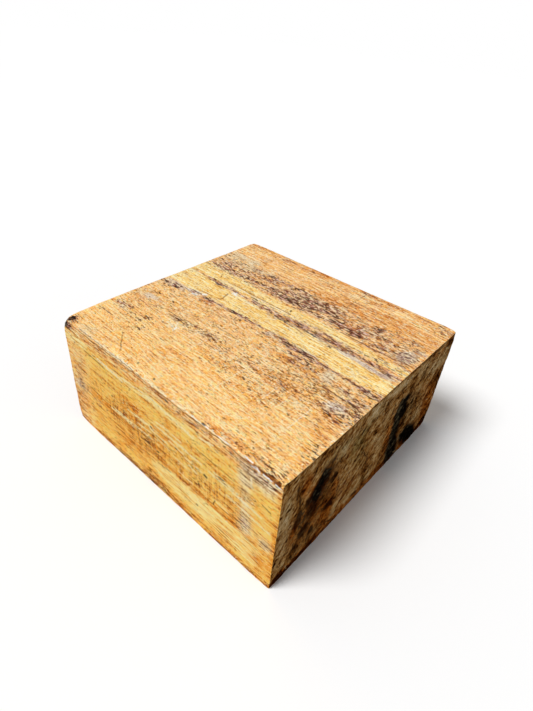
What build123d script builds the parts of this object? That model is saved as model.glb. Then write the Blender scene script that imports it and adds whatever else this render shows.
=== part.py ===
from build123d import *
import os
from math import radians, tan

# A wood block: one offcut of heavy squared timber, sawn across at both ends, in one solid.
# Millimetres. X runs along the grain, Y across it and Z up. The origin is the middle of
# the bottom of the finished block's box, so the block stands on Z = 0.
# "Front" is the long-grain side at -Y, "back" the one at +Y, "right" the sawn end at +X
# and "left" the sawn end at -X.

# ---- the squared timber ----
LENGTH = 300.0  # along the grain, between the two sawn ends
WIDTH = 297.0  # across the grain, between the two long-grain sides
HEIGHT = 139.0  # thickness of the timber

# ---- how far the faces are out of square, in degrees ----
# Yaw and taper swing a face about the vertical, tilt leans it.
RIGHT_YAW = 0.38
RIGHT_TILT = -0.46
LEFT_YAW = -0.86
LEFT_TILT = 0.22
FRONT_TAPER = -0.69
BACK_TAPER = 0.21

# ---- wear: one small radius on every arris ----
ARRIS_WEAR = 1.5

# ---- corners lost to a plane: how far each loss reaches along X, Y and Z ----
LEFT_FRONT_TOP_KNOCK = (7.0, 10.0, 8.0)
LEFT_FRONT_TOP_DROOP = (3.5, 45.0, 2.5)  # long wear along the left top arris
LEFT_FRONT_BOTTOM_KNOCK = (6.0, 5.0, 6.0)
LEFT_BACK_TOP_KNOCK = (3.5, 3.5, 3.0)
RIGHT_BACK_TOP_KNOCK = (4.0, 5.0, 5.0)
RIGHT_BACK_BOTTOM_KNOCK = (4.5, 5.0, 5.0)
RIGHT_FRONT_BOTTOM_KNOCK = (3.0, 3.0, 3.5)
RIGHT_FRONT_TOP_KNOCK = (4.0, 6.0, 6.5)
RIGHT_FRONT_TOP_SLIVER = (78.0, 5.0, 4.0)  # split off along the front top arris

# ---- a shallow scoop where slivers broke out of the front top arris ----
SCAR_LENGTH = 64.0
SCAR_WIDTH = 5.0  # widest cut, measured across the arris
SCAR_FROM_LEFT = 112.0  # left end of the block to the middle of the scoop

# ---- decayed pockets in the right end: fibres fallen out to one shallow depth ----
# Outlines on the end: distance in from the nearer side, height above the bottom.
POCKET_DEPTH = 1.5
LONG_POCKET = [  # from the back side; its front edge is one clean radial split
    (112, 91), (108, 66), (103, 30), (98, 5), (80, 5), (83, 23), (92, 43),
    (87, 52), (96, 66), (88, 79), (80, 91), (92, 100), (108, 102),
]
TOE_POCKET = [  # from the back side
    (78, 33), (67, 16), (54, 6), (32, 5), (44, 25), (63, 37),
]
UPPER_POCKET = [  # from the front side
    (56, 111), (68, 102), (67, 96), (58, 82), (53, 76), (47, 81), (48, 93), (55, 100),
]

# Blanks and cutting tools stand this far clear of what they cut.
CLEAR = 30.0

MIDDLE = HEIGHT / 2


def slope(angle):
    """Sideways shift for each millimetre along a face that is turned by this many degrees."""
    return tan(radians(angle))


def keep_inside(solid, point, outward):
    """What is left of the solid on the inner side of the plane through a point."""
    return split(solid, bisect_by=Plane(origin=point, z_dir=outward), keep=Keep.BOTTOM)


def sawn_timber():
    """The sharp out-of-square blank: a box cut by the planes of its ends and its long sides."""
    blank = Box(LENGTH + CLEAR, WIDTH + CLEAR, HEIGHT, align=(Align.CENTER, Align.CENTER, Align.MIN))
    blank = keep_inside(blank, (LENGTH / 2, 0, MIDDLE), (1, -slope(RIGHT_YAW), -slope(RIGHT_TILT)))
    blank = keep_inside(blank, (-LENGTH / 2, 0, MIDDLE), (-1, slope(LEFT_YAW), slope(LEFT_TILT)))
    blank = keep_inside(blank, (0, -WIDTH / 2, MIDDLE), (slope(FRONT_TAPER), -1, 0))
    return keep_inside(blank, (0, WIDTH / 2, MIDDLE), (-slope(BACK_TAPER), 1, 0))


def without_corner(block, sharp, signs, reach):
    """Take a corner off by the plane through one point on each of its three edges.

    signs says which corner, as the sign of X, Y and Z seen from the middle of the sharp
    blank, and reach is how far the plane cuts each edge from that sharp corner.
    """
    toward = Vector(signs[0] * LENGTH, signs[1] * WIDTH, MIDDLE + signs[2] * HEIGHT)
    tip = Vector(sharp.vertices().sort_by_distance(toward)[0])
    outward = tuple(sign / length for sign, length in zip(signs, reach))
    return keep_inside(block, tip - Vector(signs[0] * reach[0], 0, 0), outward)


def arris_scar():
    """A spindle laid along the front top arris, to scoop the wood with its lower half."""
    half = SCAR_LENGTH / 2
    bow = ThreePointArc((-half, 0), (0, SCAR_WIDTH / 2), (half, 0))
    spindle = revolve(make_face([bow, Line((half, 0), (-half, 0))]), Axis.X)
    along = SCAR_FROM_LEFT - LENGTH / 2
    across = slope(FRONT_TAPER) * along - WIDTH / 2
    return Pos(along, across, HEIGHT) * Rot(0, 0, FRONT_TAPER) * spindle


def end_pocket(outline, side):
    """A prism standing in the right end by the pocket's depth; side is -1 front, 1 back."""
    end = Plane(
        origin=(LENGTH / 2, 0, MIDDLE),
        x_dir=(slope(RIGHT_YAW), 1, 0),
        z_dir=(1, -slope(RIGHT_YAW), -slope(RIGHT_TILT)),
    )
    corners = [(side * (WIDTH / 2 - inward), up - MIDDLE) for inward, up in outline]
    face = make_face(Polyline(corners, close=True))
    return extrude(end * Pos(0, 0, -POCKET_DEPTH) * face, amount=POCKET_DEPTH + CLEAR)


def wood_block():
    """The whole block: sawn, worn, knocked about and decayed, standing on its own origin."""
    sharp = sawn_timber()
    block = fillet(sharp.edges(), ARRIS_WEAR)
    for signs, reach in (
        ((-1, -1, 1), LEFT_FRONT_TOP_DROOP),
        ((-1, -1, 1), LEFT_FRONT_TOP_KNOCK),
        ((-1, -1, -1), LEFT_FRONT_BOTTOM_KNOCK),
        ((-1, 1, 1), LEFT_BACK_TOP_KNOCK),
        ((1, 1, 1), RIGHT_BACK_TOP_KNOCK),
        ((1, 1, -1), RIGHT_BACK_BOTTOM_KNOCK),
        ((1, -1, -1), RIGHT_FRONT_BOTTOM_KNOCK),
        ((1, -1, 1), RIGHT_FRONT_TOP_SLIVER),
        ((1, -1, 1), RIGHT_FRONT_TOP_KNOCK),
    ):
        block = without_corner(block, sharp, signs, reach)
    block -= arris_scar()
    block -= end_pocket(LONG_POCKET, 1)
    block -= end_pocket(TOE_POCKET, 1)
    block -= end_pocket(UPPER_POCKET, -1)
    middle = block.bounding_box().center()
    return Pos(-middle.X, -middle.Y, 0) * block


os.makedirs("parts", exist_ok=True)
export_step(wood_block(), "parts/wood_block.step")
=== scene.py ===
from itertools import product
from math import radians
from types import SimpleNamespace

import bpy
import numpy as np
from mathutils import Matrix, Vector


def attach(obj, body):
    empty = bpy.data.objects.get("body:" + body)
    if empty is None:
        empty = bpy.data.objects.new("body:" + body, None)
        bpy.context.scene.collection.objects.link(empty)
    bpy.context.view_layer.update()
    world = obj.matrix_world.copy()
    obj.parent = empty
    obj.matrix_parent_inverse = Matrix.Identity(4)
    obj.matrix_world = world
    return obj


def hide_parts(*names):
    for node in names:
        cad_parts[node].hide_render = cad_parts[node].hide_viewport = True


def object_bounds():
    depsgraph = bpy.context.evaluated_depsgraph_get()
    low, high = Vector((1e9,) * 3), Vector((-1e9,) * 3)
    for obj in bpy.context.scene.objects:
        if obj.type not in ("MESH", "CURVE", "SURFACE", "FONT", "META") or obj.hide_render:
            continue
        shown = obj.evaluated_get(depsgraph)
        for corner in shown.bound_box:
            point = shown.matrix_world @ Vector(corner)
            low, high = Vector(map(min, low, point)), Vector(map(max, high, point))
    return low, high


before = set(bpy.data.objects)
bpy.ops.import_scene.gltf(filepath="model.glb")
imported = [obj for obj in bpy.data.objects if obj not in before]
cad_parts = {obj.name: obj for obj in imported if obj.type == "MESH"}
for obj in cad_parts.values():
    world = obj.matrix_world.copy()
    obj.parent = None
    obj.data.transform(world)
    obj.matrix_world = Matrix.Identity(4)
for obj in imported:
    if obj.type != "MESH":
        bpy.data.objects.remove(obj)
cad_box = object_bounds()
MM = 0.001  # the frame is in metres; sizes on the wood are written in millimetres

# ------------------------------------------------------------------------------------------
# The squared timber. One offcut of heavy timber, sawn on all six faces, none quite square.
# Its faces are read off the solid, and the surface is a shell of cells laid over them.
# ------------------------------------------------------------------------------------------
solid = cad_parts["wood_block"]
LOOKS_ALONG = 0.998  # cosine: triangles turned less than about 3.6 degrees from an axis


def face_planes(mesh):
    """Normal and distance of the six faces, keyed by axis and side.

    The normal is the area-weighted mean over the triangles that look along the axis, and
    the distance is the largest dot product of that normal with any of their corners.
    """
    places = np.empty(len(mesh.vertices) * 3)
    mesh.vertices.foreach_get("co", places)
    mesh.calc_loop_triangles()
    corners = np.empty(len(mesh.loop_triangles) * 3, dtype=int)
    mesh.loop_triangles.foreach_get("vertices", corners)
    triangles = places.reshape(-1, 3)[corners.reshape(-1, 3)]
    doubled = np.cross(triangles[:, 1] - triangles[:, 0], triangles[:, 2] - triangles[:, 0])
    area = np.maximum(np.linalg.norm(doubled, axis=1), 1e-12)
    planes = {}
    for axis, side in product(range(3), (-1, 1)):
        looking = doubled[:, axis] * side > LOOKS_ALONG * area
        normal = doubled[looking].sum(axis=0)
        normal /= np.linalg.norm(normal)
        planes[axis, side] = normal, (triangles[looking] @ normal).max()
    return planes


def sharp_corners(planes):
    """The eight corners as an array indexed by X, Y and Z side: each solves its three planes."""
    corners = np.empty((2, 2, 2, 3))
    for sides in product((0, 1), repeat=3):
        three = [planes[axis, 2 * side - 1] for axis, side in enumerate(sides)]
        corners[sides] = np.linalg.solve([normal for normal, _ in three], [far for _, far in three])
    return corners


corner = sharp_corners(face_planes(solid.data))
edge = [np.diff(corner, axis=axis).squeeze(axis) for axis in range(3)]
SIZE = np.array([np.linalg.norm(run, axis=-1).mean() for run in edge]) / MM  # length, width, height
LENGTH, WIDTH, HEIGHT = SIZE

# Cells are fine next to the arrises, where the wear is, and even in between.
ARRIS_STEPS = np.array([0, 0.4, 0.8, 1.2, 1.7, 2.4, 3.4, 4.8, 6.6])
FLAT_STARTS = 8.8
LONG_CELL, CROSS_CELL = 2.5, 1.8


def stations(length, cell):
    """Places along one edge: the fine steps, an even run between them, the steps mirrored."""
    count = int(round((length - 2 * FLAT_STARTS) / cell))
    flat = np.linspace(FLAT_STARTS, length - FLAT_STARTS, count + 1)
    return np.concatenate([ARRIS_STEPS, flat, length - ARRIS_STEPS[::-1]])


def shell(along, across, upright):
    """The six faces of a box lattice as one closed shell.

    A lattice place is kept if any of its three counts is first or last. Returns the kept
    places in millimetres, the quads with outward order, and each quad's axis.
    """
    counts = [len(stops) for stops in (along, across, upright)]
    place = np.stack(np.meshgrid(along, across, upright, indexing="ij"), axis=-1)
    index = np.indices(counts)
    last = np.array(counts).reshape(3, 1, 1, 1) - 1
    kept = ((index == 0) | (index == last)).any(axis=0)
    number = np.full(counts, -1)
    number[kept] = np.arange(kept.sum())
    quads, axes = [], []
    for axis, side in product(range(3), (0, 1)):
        sheet = np.moveaxis(number, axis, 0)[-side]  # the first layer, or the last
        round_face = [sheet[:-1, :-1], sheet[1:, :-1], sheet[1:, 1:], sheet[:-1, 1:]]
        # A first layer is seen from behind, and the pair across the timber is left-handed:
        # either one turns the corners round.
        turns = 1 if (side == 1) == (axis != 1) else -1
        faces = np.stack(round_face[::turns], axis=-1).reshape(-1, 4)
        quads.append(faces)
        axes.append(np.full(len(faces), axis))
    return place[kept], np.concatenate(quads), np.concatenate(axes)


flat_place, quads, quad_axis = shell(
    stations(LENGTH, LONG_CELL), stations(WIDTH, CROSS_CELL), stations(HEIGHT, CROSS_CELL)
)

# ------------------------------------------------------------------------------------------
# Wear. Handling has rubbed every arris round, more at the knocked corners and along the
# front top one, where slivers have broken out.
# ------------------------------------------------------------------------------------------


def scattered(cells, seed):
    """A repeatable number from 0 to 1 for each lattice cell, by mixing its three indices."""
    mixed = cells.astype(np.int64) @ np.array([374761393, 668265263, 1440662683]) + seed * 97531
    mixed = ((mixed ^ (mixed >> 13)) * 1274126177) & 0xFFFFFFFF
    mixed = ((mixed ^ (mixed >> 16)) * 2246822519) & 0xFFFFFFFF
    return ((mixed ^ (mixed >> 15)) & 0xFFFFFF) / 0xFFFFFF


def lumps(place, cell, seed):
    """Smooth noise from -1 to 1: scattered values on a lattice of this cell, eased between."""
    spot = place / np.asarray(cell, dtype=float)
    base = np.floor(spot).astype(np.int64)
    part = spot - base
    ease = part * part * part * (part * (part * 6 - 15) + 10)
    total = np.zeros(len(place))
    for step in product((0, 1), repeat=3):
        share = np.where(np.array(step) == 1, ease, 1 - ease).prod(axis=1)
        total += share * scattered(base + step, seed)
    return total * 2 - 1


def eased(value, low, high):
    """0 below low, 1 above high, and a smooth S between."""
    part = np.clip((value - low) / (high - low), 0, 1)
    return part * part * (3 - 2 * part)


ARRIS_WEAR = 1.4
# corner (0 first, 1 last along X, Y, Z), extra radius, how far the extra reaches
KNOCKS = [
    ((0, 0, 1), 6.0, 9.0),
    ((0, 0, 0), 4.5, 9.0),
    ((0, 1, 1), 1.5, 8.0),
    ((1, 1, 1), 2.0, 8.0),
    ((1, 1, 0), 1.4, 8.0),
    ((1, 0, 0), 1.2, 8.0),
    ((1, 0, 1), 3.4, 10.0),
]
WIDEST_WEAR = 8.0


def wear_radius(place):
    """Radius of the rubbed arris near each place.

    A base radius with slow lumps, a bell of extra radius round each knocked corner, more
    along the front top arris where slivers broke out, and more at the left top arris's
    front end.
    """
    radius = ARRIS_WEAR + 0.45 * lumps(place, 13, 3) + 0.25 * lumps(place, 5, 4)
    for which, extra, reach in KNOCKS:
        away = np.linalg.norm(place - SIZE * which, axis=1)
        radius += extra * np.exp(-((away / reach) ** 2))
    along, across, up = place.T
    front_top = np.exp(-((across / 9) ** 2) - ((HEIGHT - up) / 9) ** 2)
    radius += 1.6 * front_top * eased(along, LENGTH - 78, LENGTH - 10)
    radius += 1.0 * front_top * np.exp(-(((along - 112) / 26) ** 2))
    left_top = np.exp(-((along / 9) ** 2) - ((HEIGHT - up) / 9) ** 2)
    radius += 2.4 * left_top * (1 - eased(across, 10, 55))
    return np.clip(radius, 0.5, WIDEST_WEAR)


def rounded(place, radius):
    """Each place pushed onto an arris of its own radius, with the direction it faces.

    The place is drawn in to a box smaller by the radius all round, then set out again by
    the radius along the line between the two.
    """
    core = np.clip(place, radius[:, None], SIZE - radius[:, None])
    out = place - core
    facing = out / np.linalg.norm(out, axis=1, keepdims=True)
    return core + facing * radius[:, None], facing


worn_place, facing = rounded(flat_place, wear_radius(flat_place))

# ------------------------------------------------------------------------------------------
# Figure of the long grain. The timber is a tan hardwood with bands of yellow sapwood; damp
# has stained it purple-brown in dashes, and sun and handling have greyed and scuffed it.
# Every mark is a smooth field on the mesh, which the finish below breaks into grain.
# ------------------------------------------------------------------------------------------
along, across, up = flat_place.T
on_top = facing[:, 2] > 0.7
on_front = (facing[:, 1] < -0.6) & ~on_top
on_right = (facing[:, 0] > 0.6) & ~on_top
marks = {}
FAR_OUTSIDE = -20.0  # millimetres from any band or pocket


def between(value, low, high):
    """Distance in from the nearer of two limits, in millimetres: negative outside them."""
    return np.minimum(value - low, high - value)


def blots(first, second, spots):
    """Sum of soft oval blots: strength * exp(-(distance in reaches) squared).

    Each row gives a blot's middle, how far it reaches both ways, and its strength.
    """
    total = np.zeros(len(first))
    for middle_1, middle_2, reach_1, reach_2, strength in spots:
        gap = ((first - middle_1) / reach_1) ** 2 + ((second - middle_2) / reach_2) ** 2
        total += strength * np.exp(-gap)
    return total


def by_face(top, front, elsewhere):
    """One field from its values on the top, on the front and everywhere else."""
    return np.where(on_top, top, np.where(on_front, front, elsewhere))


def wavering(points):
    """A line down the timber, read off at every place from (along, height of the line) points."""
    return np.interp(along, *zip(*points))


def band(value, lower, upper):
    """Distance in from the nearer of a band's two wavering edges: negative outside it."""
    return between(value, wavering(lower), wavering(upper))


# Sapwood: two yellow bands run the length of the top, and two run along the front, where
# the upper one fades out to the right and the lower one is pinched off at both ends.
back_band = band(
    across,
    [(0, 178), (60, 177), (125, 177), (200, 181), (250, 180), (300, 178)],
    [
        (0, 207), (40, 207), (65, 203), (100, 198), (187, 196), (225, 194), (262, 191),
        (300, 187),
    ],
)
middle_band = band(
    across,
    [(0, 142), (100, 141), (150, 142), (180, 141), (230, 138.5), (300, 137)],
    [(0, 177), (50, 173), (100, 170), (150, 170), (225, 168), (250, 164), (300, 160)],
)
high_band = band(
    up,
    [
        (0, 117), (40, 118), (60, 114), (100, 113.5), (140, 115), (200, 113), (240, 116),
        (300, 112),
    ],
    [
        (0, 138), (20, 133), (40, 126), (60, 120), (100, 119), (140, 122), (200, 124),
        (240, 123), (300, 118),
    ],
)
high_band = np.minimum(high_band, 1.8 - 0.01 * along)
low_band = band(
    up,
    [(140, 30), (150, 22), (200, 18), (250, 16), (300, 15)],
    [(140, 40), (170, 43.5), (200, 46.5), (262, 45), (300, 44)],
)
low_band = np.minimum(low_band, np.minimum(0.5 * (along - 138), 0.35 * (286 - along)))
marks["sap"] = by_face(
    np.maximum(back_band, middle_band), np.maximum(high_band, low_band), FAR_OUTSIDE
)

# Stain in dashes: purple-brown beside the sapwood, and a few spots elsewhere.
marks["stain"] = by_face(
    blots(along, across, [
        (20, 220, 14, 4, 0.8), (30, 210, 20, 3, 0.9), (66, 211, 26, 3.5, 0.9),
        (60, 221, 18, 3, 0.55), (88, 227, 12, 3, 0.9), (93, 236, 14, 2.6, 1.0),
        (124, 237, 14, 3, 1.0), (106, 214, 12, 3.5, 0.9), (124, 222, 12, 4, 1.0),
        (127, 210, 14, 4.5, 1.3), (140, 222, 10, 14, 0.5), (160, 230, 18, 6, 1.1),
        (186, 230, 12, 4, 1.0), (157, 214, 12, 8, 0.9), (174, 219, 14, 4, 1.0),
        (190, 220, 8, 3, 0.9), (198, 210, 10, 4, 0.9), (215, 208, 14, 4.5, 1.0),
        (229, 212, 7, 10, 1.0), (241, 231, 5, 8, 0.9), (252, 220, 8, 3, 0.7),
        (262, 204, 12, 2.6, 1.0), (252, 196, 14, 2.2, 1.0), (291, 228, 9, 4, 0.8),
        (286, 203, 12, 11, 0.4), (165, 206, 22, 3, 0.9), (122, 205, 20, 2.6, 0.8),
        (66, 287, 6, 2, 0.5), (102, 289, 14, 1.6, 0.5), (204, 287, 20, 3, 0.4),
        (290, 285, 12, 10, 0.4), (186, 292, 5, 6, 0.5), (208, 126, 12, 2.4, 1.2),
        (229, 122, 10, 2.4, 1.1), (210, 118, 10, 2, 1.0), (224, 133, 8, 3, 1.1),
        (240, 113, 8, 2, 0.7), (287, 131, 10, 3.5, 1.2), (170, 136, 16, 2.5, 0.7),
        (75, 132, 10, 3, 0.7), (20, 131, 12, 4, 0.6), (291, 115, 10, 5, 0.9),
        (275, 110, 22, 1.8, 0.9), (278, 92, 12, 6, 0.5), (40, 205, 30, 2, 0.5),
        (262, 182, 26, 4, 0.5), (108, 90, 26, 1.6, 0.35), (125, 90, 9, 2.0, 0.5),
        (82, 87, 5, 2, 0.6), (292, 30, 8, 12, 0.15), (296, 45, 5, 12, 0.3), (283, 6, 16, 4, 0.4),
        (57, 65, 6, 2.5, 0.9), (70, 47, 5, 4, 0.9), (55, 56, 6, 2.5, 0.6), (282, 84, 12, 5, 0.6),
        (296, 100, 5, 10, 0.8), (188, 183, 16, 2.2, 0.8), (206, 181, 12, 2, 0.8),
        (262, 122, 12, 4, 0.5), (275, 215, 14, 12, 0.4), (290, 190, 8, 6, 0.5),
        (20, 130, 14, 4, 0.9), (50, 137, 10, 3, 0.9), (12, 62, 5, 3, 1.1), (25, 64, 6, 3, 1.0),
        (26, 137, 8, 2, 0.7), (235, 5, 22, 2.2, 0.5), (9, 7, 7, 6, 1.3), (50, 70, 14, 2, 0.3),
        (225, 86, 22, 2.5, 0.45),
    ])
    + 0.36 * eased(between(across, 201, 240), -8, 4) * eased(between(along, -20, 275), -10, 30),
    blots(along, up, [
        (17, 66, 6, 1.6, 1.3), (24, 63, 5, 1.4, 1.0), (13, 61, 5, 1.6, 1.3), (21, 57, 7, 1.6, 1.2),
        (15, 53, 4, 1.6, 0.9), (45, 53, 7, 2.5, 0.8), (70, 54, 12, 3, 0.35), (133, 60, 6, 6, 0.6),
        (145, 55, 8, 5, 0.4), (33, 43, 3, 3, 0.6), (208, 60, 6, 3, 0.5), (120, 1.5, 50, 2.0, 0.9),
        (140, 9, 14, 5, 0.35), (155, 6, 10, 6, 0.4), (134, 15, 7, 3, 0.4), (100, 3, 34, 2.0, 0.7),
        (225, 132, 60, 2, 0.4), (287, 131, 14, 1.6, 0.9), (262, 3, 30, 2.4, 0.4),
        (265, 60, 4, 10, 0.35), (10, 134, 7, 4, 1.5), (125, 66, 20, 3, 0.3),
    ]),
    0.1 + 0.45 * eased(lumps(flat_place, (70, 16, 16), 21), 0.1, 0.7),
)


def streak(line, half_widths):
    """How deep a place lies in a streak: 1 less its distance from the line over a half width.

    Both are (along, value) points: where the line lies across the top, and how wide it is.
    """
    return 1 - np.abs(across - wavering(line)) / wavering(half_widths)


# Two long dark streaks on the top: one between the bands of sapwood, and a seam along the
# front edge of the middle band.
parting_streak = streak(
    [
        (15, 176.3), (50, 175.5), (80, 174.5), (110, 173), (145, 172.5), (170, 173), (190, 174.6),
        (215, 175.6), (240, 174), (290, 171.5),
    ],
    [
        (15, 0.3), (30, 1.2), (50, 3.0), (80, 2.2), (90, 0.9), (110, 2.6), (145, 3.6), (170, 4.4),
        (190, 5.2), (215, 4.6), (236, 3.2), (250, 1.8), (288, 3.0), (296, 1.0),
    ],
)
front_seam = streak(
    [
        (0, 141), (60, 140), (80, 139.3), (100, 140), (125, 140.8), (145, 140.2), (182, 139),
        (200, 138), (235, 136.6), (275, 134.5), (300, 133),
    ],
    [
        (55, 0.2), (66, 2.2), (80, 3.0), (95, 1.4), (110, 1.6), (130, 2.2), (150, 1.0), (165, 0.3),
        (184, 3.6), (215, 3.8), (232, 2.2), (262, 1.0), (278, 3.0), (300, 2.4),
    ],
)
OFF_THE_LINE = -3.0  # the depth four half widths away
marks["streak"] = np.where(on_top, np.maximum(parting_streak, front_seam), OFF_THE_LINE)

# Weathering to grey, with pale scuffs.
marks["grey"] = by_face(
    blots(along, across, [
        (18, 248, 16, 10, 1.1), (44, 250, 8, 7, 1.1), (284, 209, 9, 11, 2.0),
        (279, 165, 18, 3.5, 1.5), (245, 167, 16, 2.5, 1.3), (214, 169, 14, 2.0, 1.2),
        (22, 134, 18, 5, 1.5), (50, 139, 9, 4, 1.5), (164, 138, 6, 6, 1.2), (248, 126, 7, 9, 1.1),
        (277, 96, 12, 7, 1.1), (24, 94, 12, 6, 1.0), (22, 60, 12, 7, 0.8), (45, 47, 14, 6, 0.5),
        (36, 9, 14, 6, 0.8), (84, 169, 6, 3, 1.2), (80, 238, 40, 10, 0.5), (30, 228, 26, 8, 0.6),
        (110, 212, 20, 5, 0.4), (140, 278, 16, 6, 0.3), (200, 264, 20, 6, 0.25),
        (262, 28, 16, 20, 0.35), (125, 88, 14, 4, 0.6), (80, 86, 10, 6, 0.4),
        (60, 236, 10, 4, 0.7), (280, 240, 10, 12, 0.35), (10, 160, 8, 8, 0.4),
        (270, 118, 20, 4, 0.6), (190, 240, 3, 8, 0.5),
    ]),
    blots(along, up, [
        (9, 57, 6, 5, 0.7), (20, 60, 12, 10, 0.4), (50, 56, 5, 3, 0.7), (266, 60, 9, 16, 1.0),
        (289, 57, 8, 9, 1.0), (262, 120, 8, 14, 1.3), (281, 127, 12, 7, 1.3),
        (264, 92, 7, 18, 0.7), (150, 134, 160, 5, 0.35), (284, 120, 12, 6, 0.4),
        (30, 95, 14, 14, 0.3),
    ]),
    0.35 * eased(lumps(flat_place, (50, 22, 22), 22), 0.0, 0.7),
)

# Where that grey is lilac, as it is beside the stain.
marks["lilac"] = by_face(
    blots(along, across, [
        (283, 208, 14, 18, 1.0), (279, 165, 26, 6, 1.0), (245, 167, 20, 4, 0.9),
        (22, 132, 20, 7, 0.8), (50, 139, 10, 5, 0.9), (24, 94, 14, 8, 0.7),
        (287, 110, 16, 16, 0.8), (164, 138, 8, 8, 0.6), (275, 94, 16, 10, 0.8),
        (84, 169, 8, 4, 0.5), (22, 60, 14, 9, 0.5),
    ]),
    blots(along, up, [(16, 58, 12, 8, 0.7), (266, 58, 8, 14, 0.7), (289, 50, 8, 8, 0.5)]),
    0.0,
)

# Orange-red heartwood tint.
marks["red"] = by_face(
    blots(along, across, [
        (228, 210, 22, 10, 0.8), (75, 132, 9, 4, 1.2), (282, 83, 11, 6, 1.3),
        (225, 86, 26, 8, 0.6), (240, 240, 50, 16, 0.5), (150, 292, 160, 4, 0.7),
        (208, 119, 20, 9, 0.6), (70, 92, 30, 8, 0.4), (15, 85, 14, 18, 0.35), (95, 55, 14, 4, 0.4),
        (160, 222, 20, 12, 0.4), (240, 22, 12, 5, 0.4), (235, 5, 30, 4, 0.6),
        (30, 200, 20, 3, 0.4), (265, 250, 20, 10, 0.4), (250, 120, 30, 8, 0.7),
        (200, 256, 90, 4, 0.6), (230, 264, 60, 3, 0.7), (110, 246, 60, 3, 0.5),
        (80, 282, 60, 3, 0.5), (215, 100, 20, 6, 0.5), (285, 60, 10, 10, 0.5),
        (180, 245, 40, 6, 0.5), (100, 232, 30, 8, 0.4),
    ]),
    blots(along, up, [
        (110, 90, 16, 7, 1.6), (110, 76, 16, 9, 1.4), (215, 48.5, 60, 2.8, 1.7),
        (100, 46, 40, 5, 0.4), (150, 74, 30, 8, 0.4), (255, 54, 8, 5, 1.1), (140, 62, 50, 9, 0.7),
        (165, 86, 40, 7, 0.6), (60, 62, 30, 6, 0.7), (110, 34, 26, 8, 0.8), (250, 68, 40, 6, 0.5),
        (70, 100, 16, 4, 0.5), (195, 99, 50, 4, 0.6), (285, 30, 14, 12, 0.7), (3, 30, 4, 24, 0.7),
        (299, 70, 4, 60, 0.8), (80, 60, 40, 8, 0.3), (102, 30, 9, 8, 0.5), (45, 30, 20, 6, 0.4),
        (250, 28, 20, 3, 0.6), (170, 6, 30, 7, 0.5),
    ]),
    0.3,
)

# Broad lightness of the ground, where the sun and wear have lifted or darkened it.
marks["shade"] = by_face(
    0.30 * (1 - eased(across, 48, 78)) + blots(along, across, [
        (85, 75, 14, 8, 0.5), (150, 75, 60, 14, 0.3), (150, 165, 150, 10, 0.1),
        (255, 60, 30, 30, 0.3), (30, 215, 50, 16, -0.4), (150, 222, 100, 18, -0.7),
        (296, 30, 7, 40, -0.8), (150, 294, 160, 5, -0.6), (205, 250, 90, 12, -0.15),
        (240, 110, 60, 24, 0.3), (10, 7, 9, 8, -1.5), (282, 200, 20, 18, -0.7),
        (150, 105, 170, 20, 0.5), (80, 88, 30, 10, 0.6), (255, 207, 16, 8, -0.7),
        (15, 208, 12, 8, 0.6), (290, 288, 16, 14, -0.7), (165, 248, 20, 8, -0.5),
        (240, 246, 30, 8, 0.6), (135, 227, 14, 6, 0.6), (15, 228, 14, 8, 0.4),
        (75, 247, 14, 8, -0.3), (135, 267, 14, 10, -0.3), (18, 248, 20, 10, 0.8),
        (30, 207, 20, 5, 0.6), (290, 240, 12, 40, -0.5), (135, 227, 20, 8, 0.6),
        (250, 108, 50, 18, 0.5), (150, 227, 30, 8, 0.4), (82, 86, 50, 8, 0.6),
        (232, 247, 20, 8, 0.5), (18, 207, 14, 6, 0.5),
    ]),
    0.42 - 0.8 * eased(up, 121, 127) * eased(along, 20, 60) - blots(along, up, [
        (90, 2, 110, 5, 1.6), (150, 8, 30, 8, 1.0), (250, 5, 70, 6, 1.0), (10, 135, 10, 6, 3.0),
        (90, 66, 26, 14, 0.3), (15, 45, 20, 26, 1.0), (240, 58, 40, 8, 0.6), (60, 58, 34, 14, 0.4),
        (175, 60, 30, 8, -0.5), (60, 110, 40, 8, -0.9), (170, 86, 70, 12, -1.0),
        (220, 112, 60, 8, -0.5), (285, 116, 16, 7, -0.9), (10, 130, 12, 8, 0.6),
        (180, 61, 26, 8, -0.6), (15, 131, 20, 5, -1.5), (285, 131, 14, 5, -1.6),
        (145, 9, 20, 9, 1.3), (215, 49, 55, 2.4, 1.4), (110, 91, 14, 6, 1.3),
        (125, 19, 30, 6, 0.6), (285, 47, 30, 6, 0.6), (255, 19, 30, 5, 0.7), (140, 3, 200, 5, 2.0),
        (6, 8, 8, 14, 0.8), (120, 5, 34, 8, 0.8), (270, 5, 30, 7, 0.8), (90, 36, 60, 14, 0.6),
        (15, 118, 14, 6, 0.5), (135, 26, 20, 10, 0.5), (230, 48, 44, 4, 0.5),
        (285, 12, 16, 12, 0.5), (70, 76, 20, 8, 0.4), (10, 8, 12, 8, 0.8),
    ]),
    -0.15,
)

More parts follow.
